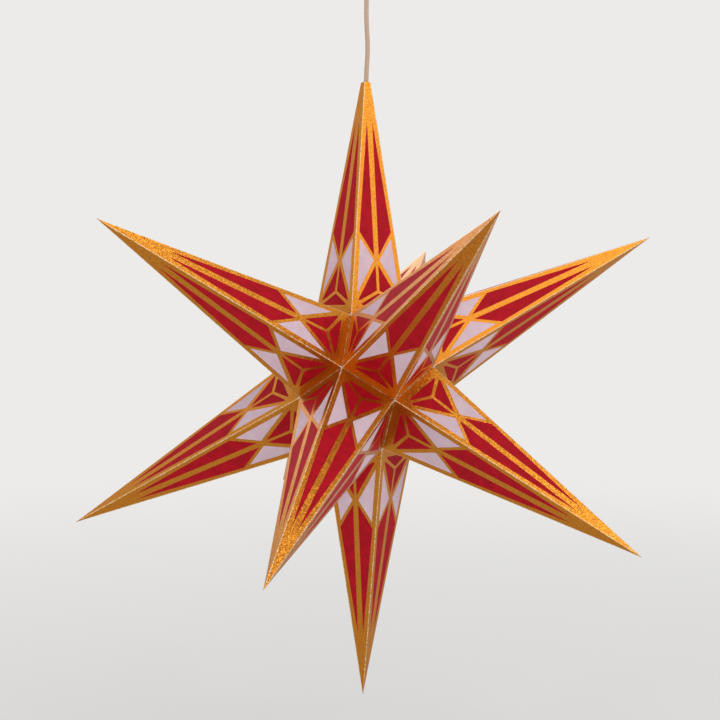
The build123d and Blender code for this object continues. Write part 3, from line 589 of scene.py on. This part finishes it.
def add_panel(sheet, side, bow):
    """The printed panel of a side. bow is how far its middle stands out."""
    rows = panel_rows()
    halves = [flat_half(panel_level(v)[0]) for v in rows]
    outline = [Vector((h, v)) for v, h in zip(rows, halves)] + [Vector((0, PANEL_LENGTH))]
    outline += [Vector((-h, v)) for v, h in reversed(list(zip(rows, halves)))]
    rules = [(Vector((-h, v)), Vector((h, v))) for v, h in zip(rows, halves) if v < BAND_TOP]
    top_half = flat_half(panel_level(BAND_TOP)[0])
    for share in (-0.5, 0.5):
        start = Vector((share * halves[0], rows[0]))
        rules.append((start, Vector((share * top_half, BAND_TOP))))
    out = on_side(side, 0, math.cos(PANEL_ANGLE), math.sin(PANEL_ANGLE))

    def place(x, v):
        r, z = panel_level(v)
        half = max(flat_half(r), SMALLEST_HALF)
        fade = min(1, max(0, v - FOLD_REACH) / BOW_FADE) * half / halves[0]
        rise = bow * fade * max(0, 1 - (x / half) ** 2)
        return on_side(side, x, r, z) + out * rise

    sheet.cut(outline, fields(), rules, place, out, GOLD_SLOT)


def add_crease(sheet, side, steps):
    """The fold at a panel's foot, for the first of its steps."""
    out = on_side(side, 0, 1, 0)
    levels = crease_levels()[: steps + 1]
    for (r0, z0), (r1, z1) in zip(levels, levels[1:]):
        h0, h1 = flat_half(r0), flat_half(r1)
        upper = [on_side(side, x, r0, z0) for x in (-h0, h0)]
        lower = [on_side(side, x, r1, z1) for x in (h1, -h1)]
        sheet.face(upper + lower, out, FOLD_SLOT)


def corner_depth():
    """How far down a flap the notches beside it start."""
    return FLAP_CORNER / math.cos(SEAM_ANGLE)


def slit(x):
    """The outline of a split pin's slit in a flap, x across from its middle."""
    w, h = SLIT_WIDTH / 2, SLIT_HEIGHT / 2
    corners = [(-w, -h), (w, -h), (w, h), (-w, h)]
    return [Vector((x + dx, PIN_DEPTH + dd)) for dx, dd in corners]


def add_flap(sheet, side, slits):
    """The flap below a side's crease, which meets the next spike's."""
    end_r = flap_level(FLAP_DEPTH)[0]
    drop = FLAP_DEPTH * math.cos(SEAM_ANGLE) - FLAP_CORNER
    notch = drop * math.tan(math.radians(NOTCH_ANGLE / 2)) / math.cos(HALF_TURN)
    foot = end_r * math.tan(HALF_TURN) - notch
    head = flat_half(flap_level(FOLD_REACH)[0])
    shoulder = flat_half(flap_level(corner_depth())[0])
    outline = [
        Vector((-head, FOLD_REACH)),
        Vector((-shoulder, corner_depth())),
        Vector((-foot, FLAP_DEPTH)),
        Vector((foot, FLAP_DEPTH)),
        Vector((shoulder, corner_depth())),
        Vector((head, FOLD_REACH)),
    ]
    holes = []
    if slits:
        holes = [(None, slit(x)) for x in (-PIN_SPACING / 2, PIN_SPACING / 2)]
    out = on_side(side, 0, math.cos(SEAM_ANGLE), -math.sin(SEAM_ANGLE))
    sheet.cut(outline, holes, [], lambda x, d: on_side(side, x, *flap_level(d)), out, CARD_SLOT)


def add_ridge(sheet, side):
    """The fold between a side and the next, from the tip over the crease to the notch."""
    panel = [(*panel_level(v), v) for v in sorted(panel_rows(), reverse=True)]
    levels = [(0.0, TIP, PANEL_LENGTH), *panel]
    levels += [(r, z, 0.0) for r, z in crease_levels()[1:]]
    levels.append((*flap_level(corner_depth()), 0.0))
    arcs = [(corner_arc(side, r, z), v) for r, z, v in levels]
    out = on_side(side + 0.5, 0, 1, 0)
    for (upper, _), (lower, v) in zip(arcs, arcs[1:]):
        slot = CARD_SLOT if v < BARE_CORNER else FOLD_SLOT
        for k in range(FOLD_STEPS):
            sheet.face([upper[k], lower[k], lower[k + 1], upper[k + 1]], out, slot)


def add_glue_flap(sheet):
    """The strip inside side 0, glued along its ridge to side 1."""
    inset = CARD + GLUE_LAYER
    out = on_side(0, 0, math.cos(PANEL_ANGLE), math.sin(PANEL_ANGLE))

    def inside(from_tip, back):
        r, z = panel_level(PANEL_LENGTH - from_tip)
        edge = r * math.tan(HALF_TURN) - CARD - back
        return on_side(0, edge, r, z) - out * inset

    end = PANEL_LENGTH - GLUE_FLAP_END
    slope = GLUE_FLAP_WIDTH  # the length that each slanted end takes
    sheet.face(
        [
            inside(GLUE_FLAP_START, 0),
            inside(GLUE_FLAP_START + slope, GLUE_FLAP_WIDTH * GLUE_FLAP_HEAD),
            inside(end - slope, GLUE_FLAP_WIDTH),
            inside(end, 0),
        ],
        out,
        CARD_SLOT,
    )


def spike_frame(name):
    """A spike's own frame: z along it, x towards the middle of its side 0."""
    z = SPIKES[name]
    if name == TOP:
        towards = SPIKES[ACCESS]
    elif name == "bottom_spike":
        towards = SPIKES["lower_front_spike"]
    else:
        towards = UP if z.z > 0 else -UP
    x = (towards - z * towards.dot(z)).normalized()
    return Matrix.Translation(CENTRE) @ Matrix((x, z.cross(x), z)).transposed().to_4x4()


def facing(name, side):
    """The spike that a side of a spike faces."""
    to_local = spike_frame(name).inverted().to_3x3()
    wanted = side * TURN
    for other, direction in SPIKES.items():
        if abs(direction.dot(SPIKES[name]) - NEIGHBOUR_COSINE) > COSINE_SLACK:
            continue
        seen = to_local @ direction
        turn = math.atan2(seen.y, seen.x) - wanted
        if math.cos(turn) > 1 - COSINE_SLACK:
            return other


def pinned(name, side):
    """Whether a side's flap is pinned to its neighbour's."""
    pair = {name, facing(name, side)}
    return ACCESS not in pair or TOP in pair


def folded(name, rng):
    """The mesh of a spike's card in the spike's own frame, with no thickness yet."""
    sheet = Sheet()
    for side in range(SIDES):
        tucked = name == ACCESS and side == 0
        shares = TOP_BOW_SHARES if name == TOP else BOW_SHARES
        add_panel(sheet, side, BOW * rng.uniform(*shares))
        add_crease(sheet, side, FOLD_STEPS // 2 if tucked else FOLD_STEPS)
        add_ridge(sheet, side)
        if not tucked:
            add_flap(sheet, side, pinned(name, side))
    add_glue_flap(sheet)
    mesh = sheet.mesh
    if name == TOP:
        bmesh.ops.bisect_plane(
            mesh,
            geom=[*mesh.verts, *mesh.edges, *mesh.faces],
            dist=CUT_TOLERANCE,
            plane_co=(0, 0, TOP_CUT),
            plane_no=(0, 0, 1),
            clear_outer=True,
        )
    bmesh.ops.remove_doubles(mesh, verts=mesh.verts, dist=MERGE_DISTANCE)
    bmesh.ops.dissolve_degenerate(mesh, edges=mesh.edges, dist=SHORTEST_EDGE)
    return mesh


def spike(name, materials, rng):
    """The dressed piece that stands for a spike's CAD node."""
    mesh = folded(name, rng)
    weights = mesh.verts.layers.deform.new()
    for vertex in mesh.verts:
        vertex[weights][0] = 1.0 if name == TOP else min(1.0, (TIP - vertex.co.z) / TIP_TAPER)
    mesh.transform(spike_frame(name))
    data = bpy.data.meshes.new(name + "_card")
    mesh.to_mesh(data)
    mesh.free()
    for material in materials:
        data.materials.append(material)
    made = bpy.data.objects.new(name + "_card", data)
    bpy.context.scene.collection.objects.link(made)
    made.vertex_groups.new(name="full_thickness")
    thicken(made)
    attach(made, "access_spike" if name == ACCESS else "star")
    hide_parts(name)


def thicken(made):
    """Gives the sheet its thickness inwards, with bare card on the inside and at cut edges."""
    solidify = made.modifiers.new("thickness", "SOLIDIFY")
    solidify.thickness = CARD
    solidify.offset = -1
    solidify.vertex_group = "full_thickness"
    solidify.material_offset = CARD_SLOT
    solidify.material_offset_rim = CARD_SLOT
    graph = bpy.context.evaluated_depsgraph_get()
    solid = bpy.data.meshes.new_from_object(made.evaluated_get(graph))
    made.modifiers.clear()
    made.vertex_groups.clear()
    made.data = solid
    for polygon in solid.polygons:
        polygon.use_smooth = True
    solid.set_sharp_from_angle(angle=SHARP_FOLD)
    weighted = made.modifiers.new("flat_panels", "WEIGHTED_NORMAL")
    weighted.keep_sharp = True


# ---------------------------------------------------------------- floor and light
BACKGROUND = srgb(236, 235, 233)
AMBIENT = srgb(228, 232, 240)
AMBIENT_STRENGTH = 0.52
FLOOR_DROP = 0.16  # below the star's lowest tip
FLOOR_RADIUS = 30
FLOOR_SIDES = 96
FLOOR_MOTTLE = 0.3
FLOOR_TONES = srgb(232, 231, 229), srgb(228, 227, 225)
FADE_START = 0.2  # from this far out, the floor turns into the background
FADE_END = 2.9  # and by here it has
FADE_LEAST = 0.4  # the background's share in the floor nearer than that
WARM_WHITE = srgb(255, 250, 242)
SOFT_WHITE = srgb(255, 252, 248)
COOL_WHITE = srgb(244, 248, 255)


def make_world():
    """Plain pale surroundings, dimmer as light than they look."""
    world = bpy.data.worlds.new("surroundings")
    bpy.context.scene.world = world
    world.use_nodes = True
    tree = world.node_tree
    tree.nodes.clear()
    output = tree.nodes.new("ShaderNodeOutputWorld")
    seen = tree.nodes.new("ShaderNodeBackground")
    seen.inputs["Color"].default_value = BACKGROUND
    light = tree.nodes.new("ShaderNodeBackground")
    light.inputs["Color"].default_value = AMBIENT
    light.inputs["Strength"].default_value = AMBIENT_STRENGTH
    rays = tree.nodes.new("ShaderNodeLightPath")
    shown = rays.outputs["Is Camera Ray"]
    for ray in ("Is Glossy Ray", "Is Transmission Ray"):
        either = tree.nodes.new("ShaderNodeMath")
        either.operation = "MAXIMUM"
        tree.links.new(shown, either.inputs[0])
        tree.links.new(rays.outputs[ray], either.inputs[1])
        shown = either.outputs[0]
    mixed = tree.nodes.new("ShaderNodeMixShader")
    tree.links.new(shown, mixed.inputs[0])
    tree.links.new(light.outputs[0], mixed.inputs[1])
    tree.links.new(seen.outputs[0], mixed.inputs[2])
    tree.links.new(mixed.outputs[0], output.inputs["Surface"])


def floor_material():
    made = Finish("floor", Roughness=0.9, Specular_IOR_Level=0.1)
    made.colour(made.mix(made.noise(FLOOR_MOTTLE, detail=3), *FLOOR_TONES))
    far = made.node("ShaderNodeVectorMath", operation="LENGTH")
    made.link(made.place, far.inputs[0])
    fade = made.spread(far.outputs["Value"], FADE_LEAST, 1.0, FADE_START, FADE_END, "SMOOTHSTEP")
    glow = made.node("ShaderNodeEmission")
    glow.inputs["Color"].default_value = BACKGROUND
    mixed = made.node("ShaderNodeMixShader")
    made.link(fade, mixed.inputs[0])
    made.link(made.shader.outputs[0], mixed.inputs[1])
    made.link(glow.outputs[0], mixed.inputs[2])
    output = next(n for n in made.tree.nodes if n.type == "OUTPUT_MATERIAL")
    made.link(mixed.outputs[0], output.inputs["Surface"])
    return made.material


def make_floor():
    """A pale floor that fades into the surroundings away from the star."""
    mesh = bmesh.new()
    bmesh.ops.create_circle(mesh, cap_ends=True, segments=FLOOR_SIDES, radius=FLOOR_RADIUS)
    data = bpy.data.meshes.new("floor")
    mesh.to_mesh(data)
    mesh.free()
    data.materials.append(floor_material())
    floor = bpy.data.objects.new("floor", data)
    floor.location = (0, 0, LOWEST - FLOOR_DROP)
    bpy.context.scene.collection.objects.link(floor)


def softbox(name, azimuth, elevation, distance, size, power, colour):
    """A square lamp aimed at the star's centre. azimuth and elevation are in degrees, from the
    front and from level, and power is in watts."""
    data = bpy.data.lights.new(name, "AREA")
    data.size = size
    data.energy = power
    data.color = colour[:3]
    lamp = bpy.data.objects.new(name, data)
    away = ring_direction(azimuth, math.radians(elevation))
    lamp.location = CENTRE + away * distance
    lamp.rotation_mode = "QUATERNION"
    lamp.rotation_quaternion = (-away).to_track_quat("-Z", "Y")
    bpy.context.scene.collection.objects.link(lamp)


make_camera()
finishes = dress_nodes()
pendant_cable(finishes["cable_jacket"])
# In the order of GOLD_SLOT, FOLD_SLOT, RED_SLOT, PALE_SLOT and CARD_SLOT.
spike_materials = [
    gold_print("gold_print", GOLD, DEEP_GOLD),
    # The folds' gold is painted lighter as a highlight, and flecked with bare card: partly wear, partly
    # painted highlight.
    gold_print("gold_on_folds", HIGHLIGHT_GOLD, GOLD, wear_and_highlight=FOLD_WEAR_AND_HIGHLIGHT),
    card_print("red_print", RED, DEEP_RED, roughness=0.55),
    card_print("pale_print", PALE, DEEP_PALE, roughness=0.6),
    finishes["star_card"],
]
rng = random.Random(BOW_SEED)
for name in SPIKES:
    spike(name, spike_materials, rng)
make_world()
make_floor()
softbox("key", azimuth=45, elevation=32, distance=2.6, size=3.6, power=36, colour=WARM_WHITE)
softbox("fill", azimuth=-60, elevation=5, distance=2.8, size=2.0, power=7, colour=COOL_WHITE)
softbox("back", azimuth=215, elevation=40, distance=2.8, size=2.4, power=22, colour=SOFT_WHITE)
softbox("glint_right", azimuth=62, elevation=48, distance=2.4, size=0.35, power=3.5, colour=WARM_WHITE)
softbox("glint_left", azimuth=-38, elevation=58, distance=2.4, size=0.35, power=3.5, colour=WARM_WHITE)

scene = bpy.context.scene
scene.view_settings.view_transform = "Standard"
